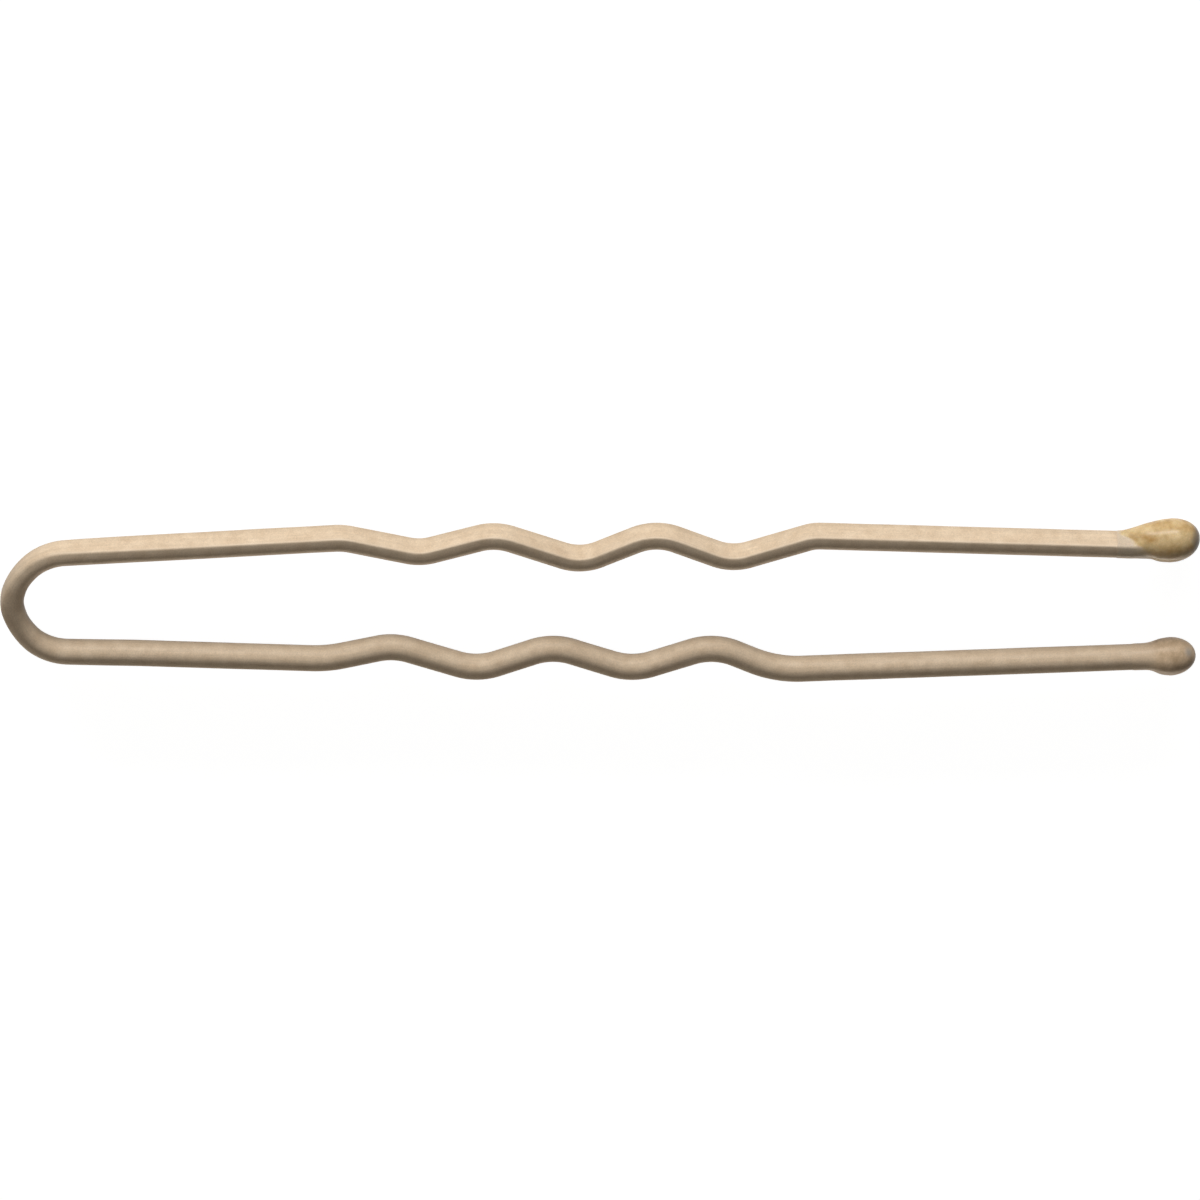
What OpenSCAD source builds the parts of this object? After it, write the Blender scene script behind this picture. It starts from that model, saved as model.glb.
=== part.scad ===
// Waved U-shaped hairpin: one flat-sided steel wire bent at the crown, baked enamel, and a resin drop on each tip.
// The pin lies flat. The crown points to -X, the tips to +X, and the upper leg of the photograph is at +Y.
// Sizes along X are counted from the outside of the crown, and those along Y from the middle of the crown.

/* [Pin] */
// Overall length, from the outside of the crown to the end of the longer leg's drop
pin_l = 65; // [60:0.5:75]
// How much sooner the lower leg ends
lower_short = 0.17; // [0:0.01:1]

/* [Wire] */
// Width of the enamelled wire, square to the plane of the pin
wire_w = 1.3; // [1.1:0.05:1.5]
// Thickness of the enamelled wire, in the plane of the pin, from its flat outer side to its round inner side
wire_h = 1.15; // [1:0.05:1.4]
// Rounding of the two long edges of the flat side
edge_r = 0.12; // [0.1:0.01:0.2]
// Width of the level band that the rounding leaves along the middle of the round side
inner_band = 0.18; // [0.1:0.02:0.4]
// Thickness of the enamel
coat_t = 0.06; // [0.03:0.01:0.08]
// Primer film between the steel and the enamel, and between the enamel and a drop
film_t = 0.01; // [0.01:0.005:0.02]

/* [Crown] */
// Bend radius of the crown's end, to the middle of the wire
crown_end_r = 2; // [1.6:0.05:3]
// Angle that each half of the crown's end turns
crown_end_turn = 16; // [10:1:20]
// Bend radius of the crown's flanks
crown_flank_r = 4.6; // [4:0.05:5]
// Angle that each flank turns
crown_flank_turn = 25; // [20:1:30]
// Bend radius where the crown runs out into a leg
crown_heel_r = 2.84; // [2.6:0.02:3.2]
// Distance at which the crown's stretch of wire ends and each leg begins
leg_x = 8; // [6:0.25:11]

/* [Upper leg] */
// Distances of its outward turns, the shoulder last
upper_out_x = [18.3, 26.73, 35.57, 44.37]; // [15:0.05:50]
// Heights of its outward turns
upper_out_y = [4.27, 4.39, 4.41, 4.42]; // [4:0.01:4.8]
// Distances of its inward turns
upper_in_x = [22.69, 31.38, 39.76]; // [18:0.05:45]
// Heights of its inward turns
upper_in_y = [3.34, 2.91, 3]; // [2.7:0.01:3.5]
// Bend radius of the waves between the first turn and the shoulder
upper_wave_r = 2.5; // [1.5:0.1:2.6]
// Bend radius of the gentle first turn
upper_first_r = 3; // [2:0.1:5]
// Bend radius of the shoulder
upper_shoulder_r = 1.8; // [1.5:0.1:5]
// Height of the wire at the middle of the drop
upper_tip_y = 3.74; // [3.5:0.01:4.2]

/* [Lower leg] */
// Distances of its outward turns, the shoulder last
lower_out_x = [17.05, 25.8, 34.26, 43.24]; // [14:0.05:48]
// Depths of its outward turns
lower_out_y = [3.79, 4.37, 4.38, 4.51]; // [3.6:0.01:4.8]
// Distances of its inward turns
lower_in_x = [21.16, 29.96, 38.55]; // [18:0.05:42]
// Depths of its inward turns
lower_in_y = [3.03, 3.14, 3.14]; // [2.7:0.01:3.4]
// Bend radius of the waves between the first turn and the shoulder
lower_wave_r = 2.9; // [1.5:0.1:3]
// Bend radius of the gentle first turn
lower_first_r = 6; // [2:0.1:6]
// Bend radius of the shoulder
lower_shoulder_r = 5.4; // [2:0.1:6]
// Depth of the wire at the middle of the drop
lower_tip_y = 3.59; // [3.4:0.01:4]

/* [Tip drops] */
// Diameter of the upper leg's drop
upper_drop_d = 2.39; // [2.3:0.01:2.7]
// Diameter of the lower leg's drop
lower_drop_d = 2.08; // [2.05:0.01:2.4]
// How far the upper leg's drop sits outward of the wire
upper_drop_out = 0.36; // [0:0.01:0.4]
// How far the lower leg's drop sits outward of the wire
lower_drop_out = 0.24; // [0:0.01:0.3]
// How far the upper leg's drop hangs below the middle of the wire
upper_sag = 0.2; // [0:0.01:0.2]
// How far the lower leg's drop hangs below the middle of the wire
lower_sag = 0.1; // [0:0.01:0.15]
// How far the wire reaches past the middle of its drop
bury = 0.35; // [0.1:0.05:0.4]
// Length of the upper drop's tail along the wire, from the middle of the drop
upper_tail_l = 3; // [1.8:0.1:3.5]
// Length of the lower drop's tail
lower_tail_l = 2.4; // [1.8:0.1:3.5]
// Thickness of a tail where it ends on the enamel
lip_t = 0.03; // [0.025:0.005:0.06]

/* [Hidden] */
enamel = [0.74, 0.66, 0.55];
amber = [0.62, 0.44, 0.2];
steel = "silver";
// How far a cut runs past the face that it opens
past = 0.2;
// Largest angle between two rings of a bend, and between points of the wire's inner and outer edges
bend_step = 8;
inner_step = 22.5;
corner_step = 45;
// Facets round a drop
drop_fn = 32;

// Heading, its left-hand normal, and where the wire's middle line leaves or meets a bend at a heading.
// A bend is [centre x, centre y, radius, side]: side 1 turns inward round a centre on the pin's middle line side,
// and side -1 turns outward.
function along(angle) = [cos(angle), sin(angle)];
function left(angle) = [-sin(angle), cos(angle)];
function touch(b, angle) = [b.x, b.y] + b[3] * b[2] * left(angle);
function bend_from(p, r, angle) = concat(p - r * left(angle), [r, 1]);

// Half of the crown: its end, a flank and a heel, each starting at its own heading where the last one stops
flank_angle = 90 - crown_end_turn;
heel_angle = flank_angle - crown_flank_turn;
crown_end = bend_from([wire_h / 2, 0], crown_end_r, 90);
crown_flank = bend_from(touch(crown_end, flank_angle), crown_flank_r, flank_angle);
crown_heel = bend_from(touch(crown_flank, heel_angle), crown_heel_r, heel_angle);

// A route is the crown's heel, the waves in order, and the tip as a bend of no radius
function out_bend(x, y, r) = [x, y - r, r, 1];
function in_bend(x, y, r) = [x, y + r, r, -1];
function route(out_x, out_y, in_x, in_y, first_r, wave_r, shoulder_r, tip) = [
    crown_heel,
    for (i = [0 : len(out_x) - 1]) each [
        out_bend(
            out_x[i], out_y[i],
            i == 0 ? first_r : i == len(out_x) - 1 ? shoulder_r : wave_r
        ),
        if (i < len(in_x)) in_bend(in_x[i], in_y[i], wave_r),
    ],
    [tip.x, tip.y, 0, 1],
];

upper_tip = [pin_l - upper_drop_d / 2, upper_tip_y];
lower_tip = [pin_l - lower_short - lower_drop_d / 2, lower_tip_y];
upper_route = route(
    upper_out_x, upper_out_y, upper_in_x, upper_in_y,
    upper_first_r, upper_wave_r, upper_shoulder_r, upper_tip
);
lower_route = route(
    lower_out_x, lower_out_y, lower_in_x, lower_in_y,
    lower_first_r, lower_wave_r, lower_shoulder_r, lower_tip
);

// Heading of the straight that touches bends a and b
function heading(a, b) =
    let (d = [b.x - a.x, b.y - a.y])
    atan2(d.y, d.x) - asin((a[3] * a[2] - b[3] * b[2]) / norm(d));

// The pin's box, which sets its place: centred along X and Y, standing on Z = 0
upper_reach = max(
    max(upper_out_y) + wire_h / 2,
    upper_tip_y + upper_drop_out + upper_drop_d / 2
);
lower_reach = max(
    max(lower_out_y) + wire_h / 2,
    lower_tip_y + lower_drop_out + lower_drop_d / 2
);
wire_z = max(
    wire_w / 2,
    upper_drop_d / 2 + upper_sag,
    lower_drop_d / 2 + lower_sag
);
shift = [-pin_l / 2, (lower_reach - upper_reach) / 2, wire_z];

// Section of the wire, drawn inward of the enamel's surface by inset: x outward, y up, flat side at +x
function arc_points(middle, r, first, last, step) = [
    for (i = [0 : round((last - first) / step)])
        middle + r * [cos(first + i * step), sin(first + i * step)]
];
function section(inset) =
    let (
        corner = [wire_h / 2 - edge_r, wire_w / 2 - edge_r],
        inner_r = (wire_w - inner_band) / 2,
        inner = [inner_r - wire_h / 2, inner_band / 2]
    )
    concat(
        arc_points([corner.x, -corner.y], edge_r - inset, -90, 0, corner_step),
        arc_points(corner, edge_r - inset, 0, 90, corner_step),
        arc_points(inner, inner_r - inset, 90, 180, inner_step),
        arc_points([inner.x, -inner.y], inner_r - inset, 180, 270, inner_step)
    );
sides = len(section(0));

// A stop is a place and heading along the wire's middle line, and a ring is the section's points there
function bend_stops(b, before, after) =
    let (steps = ceil(abs(before - after) / bend_step))
    [
        for (k = [0 : steps])
            let (angle = before + (after - before) * k / steps)
            concat(touch(b, angle), angle)
    ];
function ring(stop, inset) = [
    for (p = section(inset))
        let (flat = [stop.x, stop.y] + p.x * left(stop.z))
        [flat.x, flat.y, p.y]
];
function rings(stops, inset) = [for (stop = stops) each ring(stop, inset)];

// Where the crown's stretch of wire ends and a leg begins
function leg_start(path) =
    let (
        angle = heading(path[0], path[1]),
        heel_end = touch(path[0], angle)
    )
    concat(heel_end + (leg_x - heel_end.x) / cos(angle) * along(angle), angle);

// The crown's stops, from the lower leg round to the upper leg: two halves, one of them turned over
function crown_half(path) = [
    each bend_stops(crown_end, 90, flank_angle),
    each rest(bend_stops(crown_flank, flank_angle, heel_angle)),
    each rest(bend_stops(crown_heel, heel_angle, heading(path[0], path[1]))),
    leg_start(path),
];
function rest(list) = [for (i = [1 : len(list) - 1]) list[i]];
function turned_over(stops) = [
    for (i = [len(stops) - 1 : -1 : 1]) [stops[i].x, -stops[i].y, 180 - stops[i].z]
];
function crown_stops() = concat(turned_over(crown_half(lower_route)), crown_half(upper_route));

// One leg's stops, from the crown to its end inside the drop, less end_gap
function leg_stops(path, end_gap) =
    let (
        last = len(path) - 1,
        angles = [for (i = [0 : last - 1]) heading(path[i], path[i + 1])],
        end = [path[last].x, path[last].y] + (bury - end_gap) * along(angles[last - 1])
    )
    concat(
        [leg_start(path)],
        [for (i = [1 : last - 1]) each bend_stops(path[i], angles[i - 1], angles[i])],
        [concat(end, angles[last - 1])]
    );

// Faces between the rings from one point number on, facing out or in, and the faces that close an end
function skin(first, count, outward) = [
    for (k = [0 : count - 2]) for (i = [0 : sides - 1])
        let (
            a = first + k * sides + i,
            b = first + k * sides + (i + 1) % sides
        )
        outward ? [a, a + sides, b + sides, b] : [a, b, b + sides, a + sides]
];
function cap(first, forward) = [
    for (i = [0 : sides - 1]) first + (forward ? i : sides - 1 - i)
];
function rim(outer, inner, forward) = [
    for (i = [0 : sides - 1])
        let (j = (i + 1) % sides)
        forward
            ? [outer + i, outer + j, inner + j, inner + i]
            : [outer + i, inner + i, inner + j, outer + j]
];

// Solid wire along its stops
module wire(stops) {
    last = (len(stops) - 1) * sides;
    polyhedron(
        rings(stops, coat_t + film_t),
        concat(skin(0, len(stops), true), [cap(0, true), cap(last, false)]),
        convexity = 10
    );
}

// Enamel along its stops, with a bore along its own: open where the bore ends level, or closed over the wire's end
module enamel_coat(stops, bore_stops, open_end) {
    bore = len(stops) * sides;
    last = bore - sides;
    bore_last = bore + last;
    ends = open_end
        ? rim(last, bore_last, false)
        : [cap(last, false), cap(bore_last, true)];
    polyhedron(
        concat(rings(stops, 0), rings(bore_stops, coat_t)),
        concat(
            skin(0, len(stops), true),
            skin(bore, len(stops), false),
            rim(0, bore, true),
            ends
        ),
        convexity = 10
    );
}

// A stretch of solid section, grown by grow, from an offset along the wire to the end of its length
module section_run(tip, angle, from, length, grow) {
    translate([tip.x, tip.y, 0])
        rotate([0, 0, angle])
            translate([from, 0, 0])
                rotate([90, 0, 90])
                    linear_extrude(length) polygon(section(-grow));
}

// Resin drop on the end of a leg: a ball whose tail thins out along the wire, round the enamelled end
module drop(path, d, out, sag, tail_l) {
    last = len(path) - 1;
    tip = path[last];
    angle = heading(path[last - 1], tip);
    difference() {
        hull() {
            translate([tip.x, tip.y + out, -sag]) sphere(d = d, $fn = drop_fn);
            section_run(tip, angle, -tail_l, lip_t, lip_t);
        }
        section_run(tip, angle, -tail_l - past, tail_l + past + bury + film_t, film_t);
    }
}

module crown_wire() {
    color(steel) translate(shift) wire(crown_stops());
}

module crown_coat() {
    color(enamel) translate(shift) enamel_coat(crown_stops(), crown_stops(), true);
}

module leg_wire(path) {
    color(steel) wire(leg_stops(path, coat_t + film_t));
}

module leg_coat(path) {
    color(enamel) enamel_coat(leg_stops(path, 0), leg_stops(path, coat_t), false);
}

module upper_leg_wire() {
    translate(shift) leg_wire(upper_route);
}

module upper_leg_coat() {
    translate(shift) leg_coat(upper_route);
}

module upper_tip_drop() {
    color(amber)
        translate(shift)
            drop(upper_route, upper_drop_d, upper_drop_out, upper_sag, upper_tail_l);
}

// The lower leg is drawn as the upper one is, and turned over to its side of the middle
module lower_leg_wire() {
    translate(shift) mirror([0, 1, 0]) leg_wire(lower_route);
}

module lower_leg_coat() {
    translate(shift) mirror([0, 1, 0]) leg_coat(lower_route);
}

module lower_tip_drop() {
    color(enamel)
        translate(shift)
            mirror([0, 1, 0])
                drop(lower_route, lower_drop_d, lower_drop_out, lower_sag, lower_tail_l);
}

crown_wire();
crown_coat();
upper_leg_wire();
upper_leg_coat();
upper_tip_drop();
lower_leg_wire();
lower_leg_coat();
lower_tip_drop();
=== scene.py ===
import math

import bmesh
import bpy
from mathutils import Matrix, Vector, noise


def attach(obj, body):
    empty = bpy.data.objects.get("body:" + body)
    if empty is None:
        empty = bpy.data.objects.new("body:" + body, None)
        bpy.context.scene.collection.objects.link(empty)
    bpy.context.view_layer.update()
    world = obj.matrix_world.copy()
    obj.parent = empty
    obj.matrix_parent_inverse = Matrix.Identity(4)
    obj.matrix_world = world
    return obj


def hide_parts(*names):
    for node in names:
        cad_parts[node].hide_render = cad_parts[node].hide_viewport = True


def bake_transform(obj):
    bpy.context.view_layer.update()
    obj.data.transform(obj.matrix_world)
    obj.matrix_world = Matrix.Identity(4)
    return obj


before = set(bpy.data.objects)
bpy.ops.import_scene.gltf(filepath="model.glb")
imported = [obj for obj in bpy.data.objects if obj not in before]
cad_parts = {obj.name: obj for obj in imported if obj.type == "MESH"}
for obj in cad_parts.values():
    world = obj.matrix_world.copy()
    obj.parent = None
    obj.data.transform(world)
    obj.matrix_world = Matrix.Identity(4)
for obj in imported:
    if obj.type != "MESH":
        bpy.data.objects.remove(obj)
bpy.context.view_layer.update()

# Steel wire
# One length of spring steel, rolled with one flat side, bent round at the crown and crimped into waves.
# The baked enamel closes over all of it, so it never shows; it is here because it is what springs.
MM = 0.001
pin_length = 65.0
lower_leg_shorter = 0.17
wire_thickness = 1.15
crown_radii = (2.0, 4.6, 2.84)
crown_headings = [math.pi / 2, math.radians(74), math.radians(49)]
enamel_thickness = 0.06
primer_film = 0.01
wire_past_drop_middle = 0.35
flat_edge_radius = 0.12
flat_half_width = 0.635
widest_half_width = 0.70
flat_crowning = 0.025
crown_inner_edge = 0.60
crown_edge_radius = 0.30
crown_thickening = 0.11
thickening_fades = (0.0, 1.8)
flat_sharpens = (1.0, 7.5)
inner_side_settles = (0.0, 12.0)
lower_crown_spread = 0.09
spread_grows, spread_fades = (0.5, 3.0), (4.0, 9.0)
twist_settles, twist_in_crown, leg_run = (0.0, 12.0), 0.55, 70.0
edge_starts, edge_ends = 4, 75
points_on_flat_edge = 5
points_on_inner_edge = 9
points_on_side = 5
points_on_flat = 9
straight_step = 0.3
bend_step = math.radians(1.2)
steel_base = (0.45, 0.44, 0.42, 1)
steel_bright = (0.6, 0.59, 0.57, 1)

upper_drop_diameter = 2.39
lower_drop_diameter = 2.08
upper_tip = (pin_length - upper_drop_diameter / 2, 3.74)
lower_tip = (pin_length - lower_leg_shorter - lower_drop_diameter / 2, 3.59)
middle_height = 1.395
middle_line = -0.105


def touch(bend, angle):
    """Where the wire's middle line meets a bend at a heading."""
    x, y, radius, side = bend
    return x - side * radius * math.sin(angle), y + side * radius * math.cos(angle)


crown_bends = []
place = (wire_thickness / 2, 0.0)
for angle, radius in zip(crown_headings, crown_radii):
    if crown_bends:
        place = touch(crown_bends[-1], angle)
    crown_bends.append(
        (place[0] + radius * math.sin(angle), place[1] - radius * math.cos(angle), radius, 1)
    )


def waves(outward, inward, first_radius, wave_radius, shoulder_radius, tip):
    """A leg as bends (centre x, centre y, radius, side): the crown's last, the turns, then the tip."""
    bends = [crown_bends[-1]]
    for number, (x, y) in enumerate(outward):
        radius = wave_radius
        if number == 0:
            radius = first_radius
        if number == len(outward) - 1:
            radius = shoulder_radius
        bends.append((x, y - radius, radius, 1))
        if number < len(inward):
            x, y = inward[number]
            bends.append((x, y + wave_radius, wave_radius, -1))
    bends.append((tip[0], tip[1], 0.0, 1))
    return bends


def heading(a, b):
    """Heading of the straight run that touches bends a and b."""
    across, along = b[1] - a[1], b[0] - a[0]
    turn = (a[3] * a[2] - b[3] * b[2]) / math.hypot(across, along)
    return math.atan2(across, along) - math.asin(turn)


def stops_along(bends, past_end):
    """Places along the middle line, from the crown's outermost point to the end.

    Each is (x, y, heading, travelled).
    """
    angles = [heading(a, b) for a, b in zip(bends, bends[1:])]
    stops = []

    def add(x, y, angle):
        travelled = 0.0
        if stops:
            travelled = stops[-1][3] + math.hypot(x - stops[-1][0], y - stops[-1][1])
        stops.append((x, y, angle, travelled))

    def turn(bend, before, after):
        steps = max(1, math.ceil(abs(before - after) / bend_step))
        for step in range(steps + 1):
            angle = before + (after - before) * step / steps
            add(*touch(bend, angle), angle)

    def run(x, y, angle):
        from_x, from_y = stops[-1][:2]
        steps = max(1, math.ceil(math.hypot(x - from_x, y - from_y) / straight_step))
        for step in range(1, steps + 1):
            share = step / steps
            add(from_x + (x - from_x) * share, from_y + (y - from_y) * share, angle)

    for bend, before, after in zip(crown_bends, crown_headings, crown_headings[1:] + angles[:1]):
        if stops:
            stops.pop()
        turn(bend, before, after)
    for number, bend in enumerate(bends[1:-1], 1):
        run(*touch(bend, angles[number - 1]), angles[number - 1])
        stops.pop()
        turn(bend, angles[number - 1], angles[number])
    end_x, end_y = bends[-1][:2]
    run(
        end_x + past_end * math.cos(angles[-1]),
        end_y + past_end * math.sin(angles[-1]),
        angles[-1],
    )
    return stops


def smooth_step(low, high, given):
    share = min(1.0, max(0.0, (given - low) / (high - low)))
    return share * share * (3 - 2 * share)


def wire_section(inset, inner_edge, edge=flat_edge_radius, thicker=0.0):
    """Outline of the wire, inset from the enamel's surface, as (outward, up) points round it.

    The flat is crowned a little. From its crisp edges the sides swell to the wire's widest place and run
    into the rounded inner side, which is thicker by thicker where the wire was bent hard.
    """
    half_thick, inner_side = wire_thickness / 2 - inset, wire_thickness / 2 + thicker - inset
    flat_half, widest = flat_half_width - inset, widest_half_width - inset
    edge, inner = edge - inset, inner_edge - inset
    points = []

    def arc(out, up, radius, first, last, count):
        for step in range(count):
            angle = math.radians(first + (last - first) * step / (count - 1))
            points.append((out + radius * math.cos(angle), up + radius * math.sin(angle)))

    def side(order, sign):
        start = inner - inner_side
        end_out = half_thick - edge * (1 - math.cos(math.radians(edge_ends)))
        end_up = flat_half - edge * (1 - math.sin(math.radians(edge_ends)))
        for step in order:
            share = step / (points_on_side + 1)
            up = widest - (widest - end_up) * share * share
            points.append((start + (end_out - start) * share, sign * up))

    arc(half_thick - edge, -(flat_half - edge), edge, -edge_ends, -edge_starts, points_on_flat_edge)
    for step in range(1, points_on_flat + 1):
        across = -1 + 2 * step / (points_on_flat + 1)
        crowned = flat_crowning * (1 - across * across)
        points.append((half_thick + crowned, across * (flat_half - edge)))
    arc(half_thick - edge, flat_half - edge, edge, edge_starts, edge_ends, points_on_flat_edge)
    side(range(points_on_side, 0, -1), 1)
    arc(inner - inner_side, widest - inner, inner, 90, 180, points_on_inner_edge)
    arc(inner - inner_side, inner - widest, inner, 180, 270, points_on_inner_edge)
    side(range(1, points_on_side + 1), -1)
    return points


def in_frame(x, y, up, side):
    """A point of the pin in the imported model's frame, in metres; side is -1 for the lower leg."""
    return Vector((x - pin_length / 2, side * y + middle_line, up + middle_height)) * MM


def section_at(stop, inset, leg_inner_edge):
    """The wire's outline at a stop. The hard bend of the crown has softened the flat's edges there."""
    from_crown = stop[3]
    settled = smooth_step(*inner_side_settles, from_crown)
    inner_edge = leg_inner_edge + (crown_inner_edge - leg_inner_edge) * (1 - settled)
    bent = 1 - smooth_step(*flat_sharpens, from_crown)
    edge = flat_edge_radius + (crown_edge_radius - flat_edge_radius) * bent
    thicker = crown_thickening * (1 - smooth_step(*thickening_fades, from_crown))
    return wire_section(inset, inner_edge, edge, thicker)


def twisted(out, up, angle):
    """A point of the section, turned about the wire's middle so that the flat faces a little upward."""
    return out * math.cos(angle) - up * math.sin(angle), out * math.sin(angle) + up * math.cos(angle)


def leg_twist(travelled, most):
    """The wire is wound into its crown, so it comes out twisted a few degrees, more towards the tip."""
    share = twist_in_crown * smooth_step(*twist_settles, travelled)
    return math.radians(most) * (share + (1 - twist_in_crown) * travelled / leg_run)


def ring(stop, outline, side, twist):
    """The outline at a stop, as (point in the frame, place on the wire before it was bent).

    The lower half of the crown was bent a little wider than the upper half.
    """
    x, y, angle, travelled = stop
    if side < 0:
        grown, faded = smooth_step(*spread_grows, travelled), smooth_step(*spread_fades, travelled)
        y += lower_crown_spread * grown * (1 - faded)
    turn = leg_twist(travelled, twist)
    found = []
    for out, up in outline:
        far, high = twisted(out, up, turn)
        place = in_frame(x - far * math.sin(angle), y + far * math.cos(angle), high, side)
        found.append((place, Vector((travelled, out, up))))
    return found


def skin(mesh, rings, outward, closed=()):
    """Faces between rings of bmesh vertices, with a face over each end that closed names."""
    for near, far in zip(rings, rings[1:]):
        for k in range(len(near)):
            j = (k + 1) % len(near)
            corners = (near[k], far[k], far[j], near[j])
            mesh.faces.new(corners if outward else corners[::-1])
    if "last" in closed:
        mesh.faces.new(rings[-1] if outward else rings[-1][::-1])
    if "first" in closed:
        mesh.faces.new(rings[0][::-1] if outward else rings[0])


def finished(name, mesh, material, sharp_over=35):
    """Turns a bmesh into a named object with smooth faces, sharp only at its real edges."""
    bmesh.ops.recalc_face_normals(mesh, faces=mesh.faces[:])
    for face in mesh.faces:
        face.smooth = True
    for edge in mesh.edges:
        edge.smooth = len(edge.link_faces) < 2 or edge.calc_face_angle() < math.radians(sharp_over)
    data = bpy.data.meshes.new(name)
    mesh.to_mesh(data)
    mesh.free()
    data.materials.append(material)
    made = bpy.data.objects.new(name, data)
    bpy.context.scene.collection.objects.link(made)
    return made


def wire_mesh():
    mesh = bmesh.new()
    return mesh, mesh.verts.layers.float_vector.new("unbent")


def add_ring(mesh, unbent, points):
    made = []
    for place, straight in points:
        vert = mesh.verts.new(place)
        vert[unbent] = straight
        made.append(vert)
    return made


upper_bends = waves(
    [(18.3, 4.27), (26.73, 4.39), (35.57, 4.41), (44.37, 4.42)],
    [(22.69, 3.34), (31.38, 2.91), (39.76, 3.0)],
    3.0, 2.5, 1.8, upper_tip,
)
lower_bends = waves(
    [(17.05, 3.79), (25.8, 4.37), (34.26, 4.38), (43.24, 4.51)],
    [(21.16, 3.03), (29.96, 3.14), (38.55, 3.14)],
    6.0, 2.9, 5.4, lower_tip,
)
legs = {"upper": (upper_bends, 1, 0.592, 8.0), "lower": (lower_bends, -1, 0.63, 0.0)}


def nodes_of(material):
    """Clears a material down to one Principled shader; gives its nodes, its links and that shader."""
    material.use_nodes = True
    tree = material.node_tree
    tree.nodes.clear()
    surface = tree.nodes.new("ShaderNodeBsdfPrincipled")
    output = tree.nodes.new("ShaderNodeOutputMaterial")
    tree.links.new(surface.outputs["BSDF"], output.inputs["Surface"])
    return tree.nodes, tree.links, surface


def value_node(nodes, operation, *inputs, links=None, clamp=False):
    """A Math node; inputs are numbers or the sockets that feed it."""
    made = nodes.new("ShaderNodeMath")
    made.operation = operation
    made.use_clamp = clamp
    for socket, given in zip(made.inputs, inputs):
        if isinstance(given, bpy.types.NodeSocket):
            links.new(given, socket)
        else:
            socket.default_value = given
    return made.outputs[0]


def colour_mix(nodes, links, amount, first, second, blend="MIX"):
    """A colour Mix node; amount, first and second are plain values or sockets."""
    made = nodes.new("ShaderNodeMix")
    made.data_type = "RGBA"
    made.blend_type = blend
    for socket, given in ((made.inputs[0], amount), (made.inputs[6], first), (made.inputs[7], second)):
        if isinstance(given, bpy.types.NodeSocket):
            links.new(given, socket)
        else:
            socket.default_value = given
    return made.outputs[2]


def new_group(name, inputs, outputs):
    """An empty shader node group with named sockets: (tree, its input node, its output node)."""
    tree = bpy.data.node_groups.new(name, "ShaderNodeTree")
    for label, kind, default in inputs:
        socket = tree.interface.new_socket(label, in_out="INPUT", socket_type="NodeSocket" + kind)
        if default is not None:
            socket.default_value = default
    for label, kind in outputs:
        tree.interface.new_socket(label, in_out="OUTPUT", socket_type="NodeSocket" + kind)
    return tree, tree.nodes.new("NodeGroupInput"), tree.nodes.new("NodeGroupOutput")


def lengthwise_lines():
    """Fine lines that the rolls and the drawing die left along the wire."""
    tree, given, out = new_group(
        "lengthwise_lines",
        [("Place", "Vector", None), ("Per mm across", "Float", 9.0), ("Per mm along", "Float", 0.25)],
        [("Lines", "Float")],
    )
    nodes, links = tree.nodes, tree.links
    split = nodes.new("ShaderNodeSeparateXYZ")
    links.new(given.outputs["Place"], split.inputs[0])
    joined = nodes.new("ShaderNodeCombineXYZ")
    along = value_node(nodes, "MULTIPLY", split.outputs[0], given.outputs["Per mm along"], links=links)
    links.new(along, joined.inputs[0])
    for axis in (1, 2):
        across = value_node(
            nodes, "MULTIPLY", split.outputs[axis], given.outputs["Per mm across"], links=links
        )
        links.new(across, joined.inputs[axis])
    lines = nodes.new("ShaderNodeTexNoise")
    lines.inputs["Scale"].default_value = 1.0
    lines.inputs["Detail"].default_value = 3.0
    lines.inputs["Roughness"].default_value = 0.65
    links.new(joined.outputs[0], lines.inputs["Vector"])
    links.new(lines.outputs["Fac"], out.inputs["Lines"])
    return tree


lines_group = lengthwise_lines()


def place_group(nodes, links, tree, place, **values):
    """A node of a shared group in a material, fed with the place on the wire and its own values."""
    made = nodes.new("ShaderNodeGroup")
    made.node_tree = tree
    links.new(place, made.inputs["Place"])
    for label, number in values.items():
        made.inputs[label.replace("_", " ")].default_value = number
    return made


def kept_in_mesh(nodes, name):
    """The node that reads a value kept at each point of a mesh."""
    made = nodes.new("ShaderNodeAttribute")
    made.attribute_name = name
    return made


def place_on_wire(nodes):
    return kept_in_mesh(nodes, "unbent").outputs["Vector"]


steel = bpy.data.materials.new("spring_steel")
nodes, links, surface = nodes_of(steel)
surface.inputs["Metallic"].default_value = 1.0
surface.inputs["Roughness"].default_value = 0.32
drawn = place_group(nodes, links, lines_group, place_on_wire(nodes))
links.new(
    colour_mix(nodes, links, drawn.outputs["Lines"], steel_base, steel_bright),
    surface.inputs["Base Color"],
)


def bends_with_leg(piece):
    """Bakes the piece's placement into its mesh."""
    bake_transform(piece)


coat_and_primer = enamel_thickness + primer_film
for leg, (bends, side, inner_edge, twist) in legs.items():
    mesh, unbent = wire_mesh()
    rings = [
        add_ring(mesh, unbent, ring(stop, section_at(stop, coat_and_primer, inner_edge), side, twist))
        for stop in stops_along(bends, wire_past_drop_middle - coat_and_primer)
    ]
    skin(mesh, rings, True, closed=("first", "last"))
    core = finished(leg + "_steel_wire", mesh, steel)
    bends_with_leg(core)
    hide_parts("crown_wire", leg + "_leg_wire")
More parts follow.
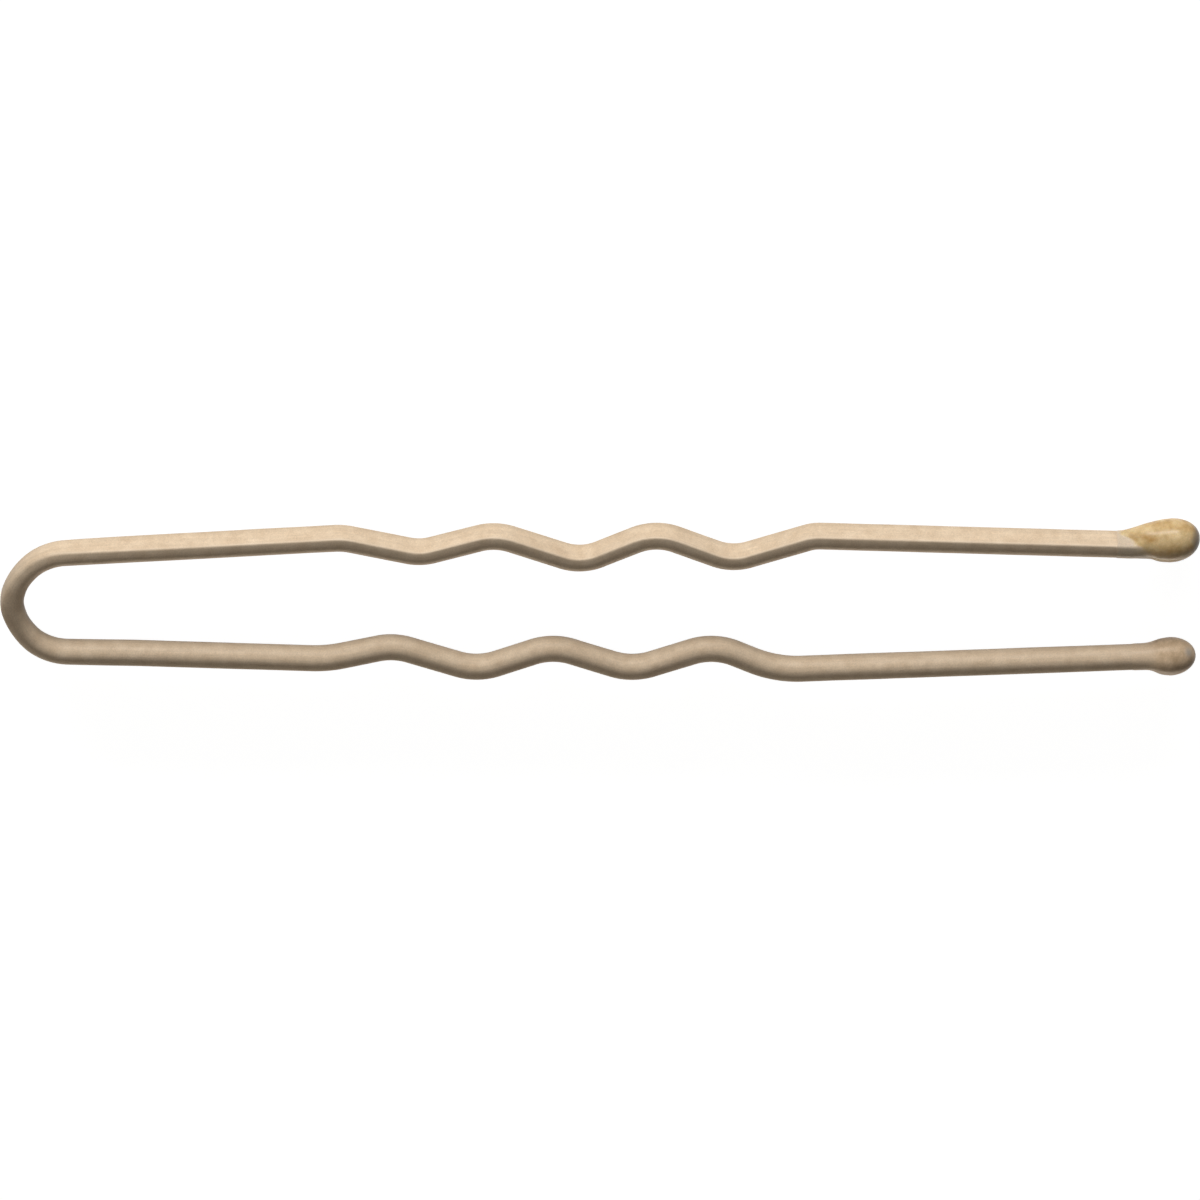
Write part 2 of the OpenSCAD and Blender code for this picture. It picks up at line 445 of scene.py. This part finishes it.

# Enamel
# Tan bronze enamel, spray-painted and baked on over a primer: matt, finely grained, and thin enough that
# the roll lines of the flat show through. Along the crisp edges of the flat side it is lighter, partly from
# wear and partly as a painted highlight. The lower side of the wire, towards the table, is darker: painted
# shade.
enamel_tan = (0.75, 0.60, 0.435, 1)
enamel_deep = (0.60, 0.455, 0.31, 1)
# Lighter colour along the flat's crisp edges: partly wear, partly a painted highlight.
enamel_worn_and_highlit = (0.86, 0.72, 0.55, 1)
enamel_scuffed = (0.52, 0.46, 0.39, 1)
speckle_contrast, streak_contrast = 0.5, 0.30
scuff_strength, wear_and_highlight_strength, rub_polish = 0.35, 0.45, 0.12
# Painted shade on the lower side of the wire, towards the table: where it starts and ends, and how dark it
# gets.
painted_underside_shade, underside_shade_tone = (-0.78, -0.1), 0.8
smooth_roughness, grain_roughness = 0.40, 0.16
line_height, grain_height, peel_depth = 0.6, 0.5, 0.012
ripple_height, ripple_per_mm, ripple_across = 0.008, 0.45, 1.3


def range_node(nodes, links, given, low, high):
    """A smooth 0 to 1 as a value goes from low to high."""
    made = nodes.new("ShaderNodeMapRange")
    made.interpolation_type = "SMOOTHSTEP"
    made.inputs["From Min"].default_value = low
    made.inputs["From Max"].default_value = high
    links.new(given, made.inputs["Value"])
    return made.outputs["Result"]


def paint_grain():
    """Orange peel and speckle of a spray-painted coat: a soft mottle and a fine grain."""
    tree, given, out = new_group(
        "paint_grain",
        [("Place", "Vector", None), ("Mottle per mm", "Float", 1.4), ("Grain per mm", "Float", 14.0)],
        [("Mottle", "Float"), ("Grain", "Float")],
    )
    nodes, links = tree.nodes, tree.links
    for label, scale, detail in (("Mottle", "Mottle per mm", 2.0), ("Grain", "Grain per mm", 2.0)):
        made = nodes.new("ShaderNodeTexNoise")
        made.inputs["Detail"].default_value = detail
        made.inputs["Roughness"].default_value = 0.6
        links.new(given.outputs["Place"], made.inputs["Vector"])
        links.new(given.outputs[scale], made.inputs["Scale"])
        links.new(made.outputs["Fac"], out.inputs[label])
    return tree


def worn_and_highlit_edges():
    """How near a point is to the two crisp edges of the flat side, broken up along the wire."""
    tree, given, out = new_group(
        "worn_and_highlit_edges",
        [
            ("Place", "Vector", None), ("Out", "Float", 0.56), ("Up", "Float", 0.61),
            ("Reach", "Float", 0.11),
        ],
        [("Edge", "Float")],
    )
    nodes, links = tree.nodes, tree.links
    split = nodes.new("ShaderNodeSeparateXYZ")
    links.new(given.outputs["Place"], split.inputs[0])
    height = value_node(nodes, "ABSOLUTE", split.outputs[2], links=links)
    off_up = value_node(nodes, "SUBTRACT", height, given.outputs["Up"], links=links)
    off_out = value_node(nodes, "SUBTRACT", split.outputs[1], given.outputs["Out"], links=links)
    squares = [value_node(nodes, "MULTIPLY", off, off, links=links) for off in (off_up, off_out)]
    distance = value_node(nodes, "SQRT", value_node(nodes, "ADD", *squares, links=links), links=links)
    near = nodes.new("ShaderNodeMapRange")
    near.interpolation_type = "SMOOTHSTEP"
    near.inputs["From Min"].default_value = 0.0
    near.inputs["To Min"].default_value = 1.0
    near.inputs["To Max"].default_value = 0.0
    links.new(distance, near.inputs["Value"])
    links.new(given.outputs["Reach"], near.inputs["From Max"])
    wear = nodes.new("ShaderNodeTexNoise")
    wear.inputs["Scale"].default_value = 0.6
    wear.inputs["Detail"].default_value = 3.0
    links.new(given.outputs["Place"], wear.inputs["Vector"])
    broken = nodes.new("ShaderNodeMapRange")
    broken.inputs["From Min"].default_value = 0.3
    broken.inputs["From Max"].default_value = 0.62
    broken.inputs["To Min"].default_value = 0.35
    links.new(wear.outputs["Fac"], broken.inputs["Value"])
    edge = value_node(nodes, "MULTIPLY", near.outputs["Result"], broken.outputs["Result"], links=links)
    links.new(edge, out.inputs["Edge"])
    return tree


def small_scuffs():
    """Sparse short rubs, longer along the wire than across it."""
    tree, given, out = new_group(
        "small_scuffs",
        [("Place", "Vector", None), ("Threshold", "Float", 0.66)],
        [("Scuff", "Float")],
    )
    nodes, links = tree.nodes, tree.links
    stretched = nodes.new("ShaderNodeVectorMath")
    stretched.operation = "MULTIPLY"
    stretched.inputs[1].default_value = (0.35, 1.6, 1.6)
    links.new(given.outputs["Place"], stretched.inputs[0])
    patch = nodes.new("ShaderNodeTexNoise")
    patch.inputs["Scale"].default_value = 1.0
    patch.inputs["Detail"].default_value = 5.0
    patch.inputs["Roughness"].default_value = 0.7
    links.new(stretched.outputs[0], patch.inputs["Vector"])
    over = value_node(nodes, "SUBTRACT", patch.outputs["Fac"], given.outputs["Threshold"], links=links)
    links.new(value_node(nodes, "MULTIPLY", over, 9.0, links=links, clamp=True), out.inputs["Scuff"])
    return tree


grain_group = paint_grain()
edge_group = worn_and_highlit_edges()
scuff_group = small_scuffs()


def cloudy(nodes, links, mottle, gain, middle):
    """A mottle with more contrast: gain times as strong, and middle where the mottle is a half."""
    return value_node(nodes, "MULTIPLY_ADD", mottle, gain, middle - gain / 2, links=links, clamp=True)


def toned(nodes, links, base, mask, contrast):
    """A colour made darker and lighter by a mask, by contrast from end to end."""
    tone = value_node(nodes, "MULTIPLY_ADD", mask, contrast, 1 - contrast / 2, links=links)
    return colour_mix(nodes, links, 1.0, base, tone, "MULTIPLY")


def laid_over(nodes, links, base, mask, strength, colour):
    """A second colour over a base where a mask says so."""
    amount = value_node(nodes, "MULTIPLY", mask, strength, links=links)
    return colour_mix(nodes, links, amount, base, colour)


def add_relief(nodes, links, surface, height, strength, depth):
    """A bump of a depth in mm, from a height that changes over the surface."""
    bump = nodes.new("ShaderNodeBump")
    bump.inputs["Strength"].default_value = strength
    bump.inputs["Distance"].default_value = depth * MM
    links.new(height, bump.inputs["Height"])
    links.new(bump.outputs["Normal"], surface.inputs["Normal"])


enamel = bpy.data.materials.new("tan_baked_enamel")
nodes, links, surface = nodes_of(enamel)
place = place_on_wire(nodes)
grain = place_group(nodes, links, grain_group, place)
rolled = place_group(nodes, links, lines_group, place)
edge_wear_and_highlight = place_group(nodes, links, edge_group, place)
scuffs = place_group(nodes, links, scuff_group, place)
mottle = cloudy(nodes, links, grain.outputs["Mottle"], 1.6, 0.4)
base = colour_mix(nodes, links, mottle, enamel_deep, enamel_tan)
base = toned(nodes, links, base, grain.outputs["Grain"], speckle_contrast)
base = toned(nodes, links, base, rolled.outputs["Lines"], streak_contrast)
base = laid_over(nodes, links, base, scuffs.outputs["Scuff"], scuff_strength, enamel_scuffed)
# Lighter along the flat's crisp edges: partly edge wear, partly a painted highlight.
base = laid_over(nodes, links, base, edge_wear_and_highlight.outputs["Edge"], wear_and_highlight_strength, enamel_worn_and_highlit)
parts = nodes.new("ShaderNodeSeparateXYZ")
links.new(place, parts.inputs[0])
# Painted shade: the colour is made darker towards the lower side of the wire, the side that faces the
# table.
underside_shading = range_node(nodes, links, parts.outputs[2], *painted_underside_shade)
underside_shading = value_node(
    nodes, "MULTIPLY_ADD", underside_shading, 1 - underside_shade_tone, underside_shade_tone, links=links
)
links.new(colour_mix(nodes, links, 1.0, base, underside_shading, "MULTIPLY"), surface.inputs["Base Color"])
rough = value_node(
    nodes, "MULTIPLY_ADD", grain.outputs["Grain"], grain_roughness, smooth_roughness, links=links
)
polish = value_node(nodes, "MULTIPLY", edge_wear_and_highlight.outputs["Edge"], rub_polish, links=links)
links.new(value_node(nodes, "SUBTRACT", rough, polish, links=links), surface.inputs["Roughness"])
pimples = value_node(nodes, "MULTIPLY", grain.outputs["Grain"], grain_height, links=links)
relief = value_node(nodes, "MULTIPLY_ADD", rolled.outputs["Lines"], line_height, pimples, links=links)
add_relief(nodes, links, surface, relief, 0.5, peel_depth)
surface.inputs["Specular IOR Level"].default_value = 0.16


def uneven(travelled, out, up):
    """A few microns of sag and ripple in the coat, towards or away from the wire's middle."""
    sample = Vector((travelled * ripple_per_mm, out * ripple_across, up * ripple_across))
    ripple = noise.noise(sample) * ripple_height
    across = Vector((out, up)).normalized()
    return out + across[0] * ripple, up + across[1] * ripple


for leg, (bends, side, inner_edge, twist) in legs.items():
    mesh, unbent = wire_mesh()
    outer, bore = [], []
    for stop in stops_along(bends, wire_past_drop_middle):
        outline = [uneven(stop[3], out, up) for out, up in section_at(stop, 0, inner_edge)]
        outer.append(add_ring(mesh, unbent, ring(stop, outline, side, twist)))
    for stop in stops_along(bends, wire_past_drop_middle - enamel_thickness):
        outline = section_at(stop, enamel_thickness, inner_edge)
        bore.append(add_ring(mesh, unbent, ring(stop, outline, side, twist)))
    skin(mesh, outer, True, closed=("last",))
    skin(mesh, bore, False, closed=("last",))
    skin(mesh, [bore[0], outer[0]], True)
    coat = finished(leg + "_enamel", mesh, enamel)
    bends_with_leg(coat)
    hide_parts("crown_coat", leg + "_leg_coat")

# Upper tip drop
# The end of the upper leg is dipped in clear amber resin, which ran back along the flat's edges and set as
# a glossy ball. Where the resin is thin the enamel shows through it, and where it is deep it is ochre.
travelled_at_drops = 67
drop_sides = 72
tail_rings = 40
end_rings = 36
film_over_enamel, film_rise = 0.012, 0.12
resin_fillet, least_depth_at_end = 0.05, 0.3
late_from, late_range, late_ends = math.radians(60), (-0.1, 0.8), 0.6


def soft_max(a, b, reach):
    """The larger of two lengths, with the corner between them filled over a reach."""
    mixed = max(0.0, reach - abs(a - b)) / reach
    return max(a, b) + mixed * mixed * reach / 4


def section_radius(outline, angle):
    """Distance from the wire's middle to an outline of its section, in a direction (0 is outward)."""
    direction = (math.cos(angle), math.sin(angle))
    best = 0.0
    for a, b in zip(outline, outline[1:] + outline[:1]):
        edge = (b[0] - a[0], b[1] - a[1])
        cross = direction[0] * edge[1] - direction[1] * edge[0]
        if abs(cross) < 1e-12:
            continue
        reach = (a[0] * edge[1] - a[1] * edge[0]) / cross
        along = (a[0] * direction[1] - a[1] * direction[0]) / cross
        if reach > 0 and -1e-9 <= along <= 1 + 1e-9:
            best = max(best, reach)
    return best


def circle_radius(middle_out, middle_up, radius, angle):
    """Distance from the wire's middle to a circle round another middle, in a direction."""
    toward = middle_out * math.cos(angle) + middle_up * math.sin(angle)
    across = middle_out * math.sin(angle) - middle_up * math.cos(angle)
    return toward + math.sqrt(max(0.0, radius * radius - across * across))


def at_station(stations, along):
    """The values of a table of stations at a place along the wire, joined by smooth curves."""
    if along <= stations[0][0]:
        return stations[0][1:]
    for number, (near, far) in enumerate(zip(stations, stations[1:])):
        if along <= far[0]:
            break
    before = stations[max(0, number - 1)]
    after = stations[min(len(stations) - 1, number + 2)]
    gap = far[0] - near[0]
    share = min(1.0, (along - near[0]) / gap)
    found = []
    for a, b, c, d in zip(before[1:], near[1:], far[1:], after[1:]):
        leaving = (c - a) / (far[0] - before[0]) * gap
        arriving = (d - b) / (after[0] - near[0]) * gap
        square, cube = share * share, share ** 3
        found.append(
            b * (2 * cube - 3 * square + 1) + leaving * (cube - 2 * square + share)
            + c * (3 * square - 2 * cube) + arriving * (cube - square)
        )
    return found


def drop_mesh(name, leg, tip, stations, end_drift, end_power, late_start, material):
    """A resin drop lofted from the wire's own surface to a round end, hung outward and below its middle.

    Each station is (place along the wire from the drop's middle, radius, outward, downward, how far the
    section has turned from the wire's outline into a circle). After the last one the drop rounds off to
    its end as a superellipse. late_start is how much later the resin thickens on the upper and inner
    sides.
    """
    bends, side, inner_edge, twist = legs[leg]
    tip_x, tip_y = bends[-1][:2]
    angle = heading(bends[-2], bends[-1])
    turn_of_wire = leg_twist(travelled_at_drops, twist)
    outline = [twisted(out, up, turn_of_wire) for out, up in wire_section(0, inner_edge)]
    rays = [2 * math.pi * k / drop_sides for k in range(drop_sides)]
    wire_reach = [section_radius(outline, ray) for ray in rays]
    first, last = stations[0][0], stations[-1][0]
    length = tip - last

    mesh = bmesh.new()
    unbent = mesh.verts.layers.float_vector.new("unbent")
    depth_layer = mesh.verts.layers.float.new("resin_depth")

    def add(along, out, up, depth):
        x = tip_x + along * math.cos(angle) - out * math.sin(angle)
        y = tip_y + along * math.sin(angle) + out * math.cos(angle)
        vert = mesh.verts.new(in_frame(x, y, up, side))
        vert[unbent] = Vector((along, out, up))
        vert[depth_layer] = depth
        return vert

    outer = []
    for step in range(tail_rings):
        along = first + (last - first) * step / tail_rings
        fade = 1 - smooth_step(first, last - late_ends, along)
        film = film_over_enamel * smooth_step(first, first + film_rise, along)
        loop = []
        for ray, wire in zip(rays, wire_reach):
            late = late_start * fade * (1 - smooth_step(*late_range, math.cos(ray + late_from)))
            radius, outward, downward, turned = at_station(stations, along - late)
            circle = circle_radius(outward, -downward, radius, ray)
            reach = wire + film + (circle - wire - film) * turned
            reach = soft_max(reach, wire + film, resin_fillet)
            loop.append(add(along, reach * math.cos(ray), reach * math.sin(ray), reach - wire))
        outer.append(loop)
    radius, outward, downward = stations[-1][1:4]
    for step in range(end_rings):
        turn = math.pi / 2 * (1 - step / end_rings)
        share = math.cos(turn) ** (2 / end_power)
        wide = radius * math.sin(turn) ** (2 / end_power)
        middle = outward + end_drift * share
        loop = []
        for ray, wire in zip(rays, wire_reach):
            out, up = middle + wide * math.cos(ray), -downward + wide * math.sin(ray)
            depth = max(least_depth_at_end, math.hypot(out, up) - wire)
            loop.append(add(last + length * share, out, up, depth))
        outer.append(loop)
    pole = add(tip, outward + end_drift, -downward, radius)
    skin(mesh, outer, True)
    for k in range(drop_sides):
        mesh.faces.new((outer[-1][k], pole, outer[-1][(k + 1) % drop_sides]))

    socket = [twisted(out, up, turn_of_wire) for out, up in wire_section(-primer_film, inner_edge)]
    socket_reach = [section_radius(socket, ray) for ray in rays]
    socket_rings = []
    for along in (first, wire_past_drop_middle + primer_film):
        socket_rings.append([
            add(along, reach * math.cos(ray), reach * math.sin(ray), 0.0)
            for ray, reach in zip(rays, socket_reach)
        ])
    skin(mesh, socket_rings, False, closed=("last",))
    skin(mesh, [socket_rings[0], outer[0]], True)
    return finished(name, mesh, material, sharp_over=60)


def resin_base(material, mottle_per_mm, gain, deep, pale, film, full_depth):
    """What both resins share: cloudy and speckled, and clear over the enamel where they are thin."""
    nodes, links, surface = nodes_of(material)
    place = place_on_wire(nodes)
    grain = place_group(nodes, links, grain_group, place, Mottle_per_mm=mottle_per_mm)
    cloud = cloudy(nodes, links, grain.outputs["Mottle"], gain, 0.5)
    resin = colour_mix(nodes, links, cloud, deep, pale)
    depth = kept_in_mesh(nodes, "resin_depth").outputs["Fac"]
    thick = range_node(nodes, links, depth, *full_depth)
    resin = colour_mix(nodes, links, thick, film, resin)
    resin = toned(nodes, links, resin, grain.outputs["Grain"], speckle_contrast)
    surface.inputs["Specular IOR Level"].default_value = 0.18
    return nodes, links, surface, place, grain, thick, resin


amber_deep = (0.43, 0.26, 0.09, 1)
amber_pale = (0.70, 0.53, 0.29, 1)
amber_film = (0.66, 0.51, 0.355, 1)
# A dark grey-brown over the round end of the drop: a painted dark reflection.
amber_painted_dark_end = (0.22, 0.17, 0.12, 1)
dark_end_from, dark_end_strength, dark_end_wander = (0.92, 1.24), 0.8, 0.5
amber_roughness, amber_coat = 0.26, 0.14

amber = bpy.data.materials.new("amber_resin")
nodes, links, surface, place, grain, thick, resin = resin_base(
    amber, 1.3, 2.4, amber_deep, amber_pale, amber_film, (0.02, 0.12),
)
parts = nodes.new("ShaderNodeSeparateXYZ")
links.new(place, parts.inputs[0])
# Painted dark reflection: the colour turns a dark grey-brown over the round end of the drop.
edge_of_end = value_node(
    nodes, "MULTIPLY_ADD", grain.outputs["Mottle"], dark_end_wander, parts.outputs[0], links=links
)
painted_dark_end = range_node(nodes, links, edge_of_end, *dark_end_from)
resin = laid_over(nodes, links, resin, painted_dark_end, dark_end_strength, amber_painted_dark_end)
links.new(resin, surface.inputs["Base Color"])
rough = value_node(
    nodes, "MULTIPLY_ADD", grain.outputs["Grain"], grain_roughness, amber_roughness, links=links
)
links.new(rough, surface.inputs["Roughness"])
surface.inputs["Subsurface Weight"].default_value = 0.2
surface.inputs["Subsurface Radius"].default_value = (0.9, 0.5, 0.2)
surface.inputs["Subsurface Scale"].default_value = 0.4 * MM
links.new(value_node(nodes, "MULTIPLY", thick, amber_coat, links=links), surface.inputs["Coat Weight"])
surface.inputs["Coat Roughness"].default_value = 0.22
add_relief(nodes, links, surface, grain.outputs["Mottle"], 0.4, 0.02)

upper_drop = drop_mesh(
    "upper_tip_amber_drop", "upper", upper_drop_diameter / 2,
    [
        (-3.3, 0.74, 0.20, 0.0, 0.0), (-3.05, 0.76, 0.21, 0.01, 0.3), (-2.58, 0.81, 0.24, 0.05, 0.75),
        (-2.03, 0.89, 0.30, 0.10, 0.95), (-1.49, 1.01, 0.30, 0.15, 1.0), (-0.95, 1.145, 0.29, 0.18, 1.0),
        (-0.4, 1.2, 0.31, 0.20, 1.0),
    ],
    end_drift=0.14, end_power=2.1, late_start=1.2, material=amber,
)
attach(upper_drop, "upper_leg")
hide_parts("upper_tip_drop")

# Lower tip drop
# The other end is dipped in a tan resin of the enamel's own colour, which dried semi-matt and a little
# blotchy. It is smaller, and its tail is shorter.
tan_pale = (0.68, 0.505, 0.335, 1)
tan_deep = (0.46, 0.325, 0.20, 1)
tan_film = (0.665, 0.51, 0.355, 1)
# A grey spot near the drop's end: painted shade.
tan_painted_shade_spot = (0.40, 0.37, 0.34, 1)
shade_spot_middle, shade_spot_reach, shade_spot_strength = (0.69, -0.35, 0.32), (0.02, 0.42), 0.65
tan_roughness, tan_grain_roughness = 0.30, 0.2

tan = bpy.data.materials.new("tan_resin")
nodes, links, surface, place, grain, thick, resin = resin_base(
    tan, 1.7, 2.2, tan_deep, tan_pale, tan_film, (0.01, 0.16),
)
# Painted shade: a grey spot laid over the resin near the drop's end.
from_shade_spot = nodes.new("ShaderNodeVectorMath")
from_shade_spot.operation = "DISTANCE"
from_shade_spot.inputs[1].default_value = shade_spot_middle
links.new(place, from_shade_spot.inputs[0])
off_shade_spot = range_node(nodes, links, from_shade_spot.outputs["Value"], *shade_spot_reach)
painted_shade_spot = value_node(nodes, "MULTIPLY_ADD", off_shade_spot, -shade_spot_strength, shade_spot_strength, links=links)
links.new(colour_mix(nodes, links, painted_shade_spot, resin, tan_painted_shade_spot), surface.inputs["Base Color"])
rough = value_node(
    nodes, "MULTIPLY_ADD", grain.outputs["Grain"], tan_grain_roughness, tan_roughness, links=links
)
links.new(rough, surface.inputs["Roughness"])
add_relief(nodes, links, surface, grain.outputs["Mottle"], 0.4, 0.015)

lower_drop = drop_mesh(
    "lower_tip_tan_drop", "lower", lower_drop_diameter / 2,
    [
        (-2.4, 0.69, 0.14, 0.0, 0.0), (-2.02, 0.727, 0.146, 0.02, 0.25), (-1.48, 0.805, 0.152, 0.05, 0.7),
        (-0.93, 0.96, 0.20, 0.08, 1.0), (-0.39, 1.05, 0.23, 0.10, 1.0),
    ],
    end_drift=-0.03, end_power=2.03, late_start=0.0, material=tan,
)
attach(lower_drop, "lower_leg")
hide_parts("lower_tip_drop")

# Table and background
# The pin lies on a plain white table. The camera and the gloss see the table as white; it keeps a faint
# shadow, because a little of its brightness comes from the lamps.
table_half = 0.6
table_glow = (0.97, 0.97, 0.97, 1)
table_shade = (0.32, 0.32, 0.32, 1)
table_plain = (0.55, 0.53, 0.50, 1)
room_walls = (0.03, 0.029, 0.027, 1)


def seen_rays(nodes, links):
    """1 for what the camera, the gloss or a clear piece sees, 0 for the light that falls on the object."""
    rays = nodes.new("ShaderNodeLightPath")
    gloss = value_node(
        nodes, "MAXIMUM", rays.outputs["Is Glossy Ray"], rays.outputs["Is Transmission Ray"], links=links
    )
    return value_node(nodes, "MAXIMUM", rays.outputs["Is Camera Ray"], gloss, links=links)


def shader_of(nodes, kind, colour):
    made = nodes.new("ShaderNode" + kind)
    made.inputs["Color"].default_value = colour
    return made.outputs[0]


def seen_or_lit(tree, kind, lit, seen):
    """Ends a tree in one shader for the light on the object and another for what is seen."""
    choice = tree.nodes.new("ShaderNodeMixShader")
    for socket, given in zip(choice.inputs, (seen_rays(tree.nodes, tree.links), lit, seen)):
        tree.links.new(given, socket)
    output = tree.nodes.new("ShaderNodeOutput" + kind)
    tree.links.new(choice.outputs[0], output.inputs["Surface"])


floor_mesh = bmesh.new()
bmesh.ops.create_grid(floor_mesh, x_segments=2, y_segments=2, size=table_half)
table_data = bpy.data.meshes.new("table")
floor_mesh.to_mesh(table_data)
floor_mesh.free()
table = bpy.data.objects.new("table", table_data)
bpy.context.scene.collection.objects.link(table)
white = bpy.data.materials.new("white_table")
white.use_nodes = True
nodes, links = white.node_tree.nodes, white.node_tree.links
nodes.clear()
both = nodes.new("ShaderNodeAddShader")
links.new(shader_of(nodes, "Emission", table_glow), both.inputs[0])
links.new(shader_of(nodes, "BsdfDiffuse", table_shade), both.inputs[1])
plain = shader_of(nodes, "BsdfDiffuse", table_plain)
seen_or_lit(white.node_tree, "Material", plain, both.outputs[0])
table_data.materials.append(white)

room = bpy.data.worlds.new("room")
bpy.context.scene.world = room
room.use_nodes = True
nodes = room.node_tree.nodes
nodes.clear()
walls = shader_of(nodes, "Background", room_walls)
seen_or_lit(room.node_tree, "World", walls, shader_of(nodes, "Background", (1, 1, 1, 1)))

# Lamps and camera
# One wide soft lamp stands low beyond the upper leg, so that the flat side is bright and the wire's sides
# are dark. A weaker, warmer one lights the far side. The camera looks down from the same side as the first,
# turned so that the lit leg is at the top of the picture.


def soft_lamp(name, place, width, height, watts, colour=(1, 1, 1)):
    """A rectangular lamp that faces the middle of the table."""
    data = bpy.data.lights.new(name, "AREA")
    data.shape = "RECTANGLE"
    data.size, data.size_y = width, height
    data.energy = watts
    data.color = colour
    lamp = bpy.data.objects.new(name, data)
    lamp.location = place
    lamp.rotation_mode = "QUATERNION"
    lamp.rotation_quaternion = (-Vector(place)).to_track_quat("-Z", "Y")
    bpy.context.scene.collection.objects.link(lamp)


soft_lamp("window", (-0.06, 0.5, 0.066), width=0.5, height=0.125, watts=3.2)
soft_lamp(
    "fill", (-0.05, -0.5, 0.055), width=0.5, height=0.09, watts=1.15, colour=(1.0, 0.90, 0.77),
)

view_tilt = math.radians(38)
seen_width = 65.08 * MM
camera_distance = 3.0
aim = Vector((0.006, middle_line + 0.1186, middle_height)) * MM
camera_data = bpy.data.cameras.new("camera")
camera_data.sensor_width = 36.0
camera_data.lens = camera_data.sensor_width * camera_distance / seen_width
camera_data.clip_start, camera_data.clip_end = 0.01, 10.0
camera = bpy.data.objects.new("camera", camera_data)
back = Vector((0, math.sin(view_tilt), math.cos(view_tilt)))
up = Vector((0, math.cos(view_tilt), -math.sin(view_tilt)))
right = Vector((1, 0, 0))
camera.matrix_world = Matrix((right, up, back)).transposed().to_4x4()
camera.location = aim + back * camera_distance
bpy.context.scene.collection.objects.link(camera)
bpy.context.scene.camera = camera
bpy.context.scene.view_settings.view_transform = "Standard"
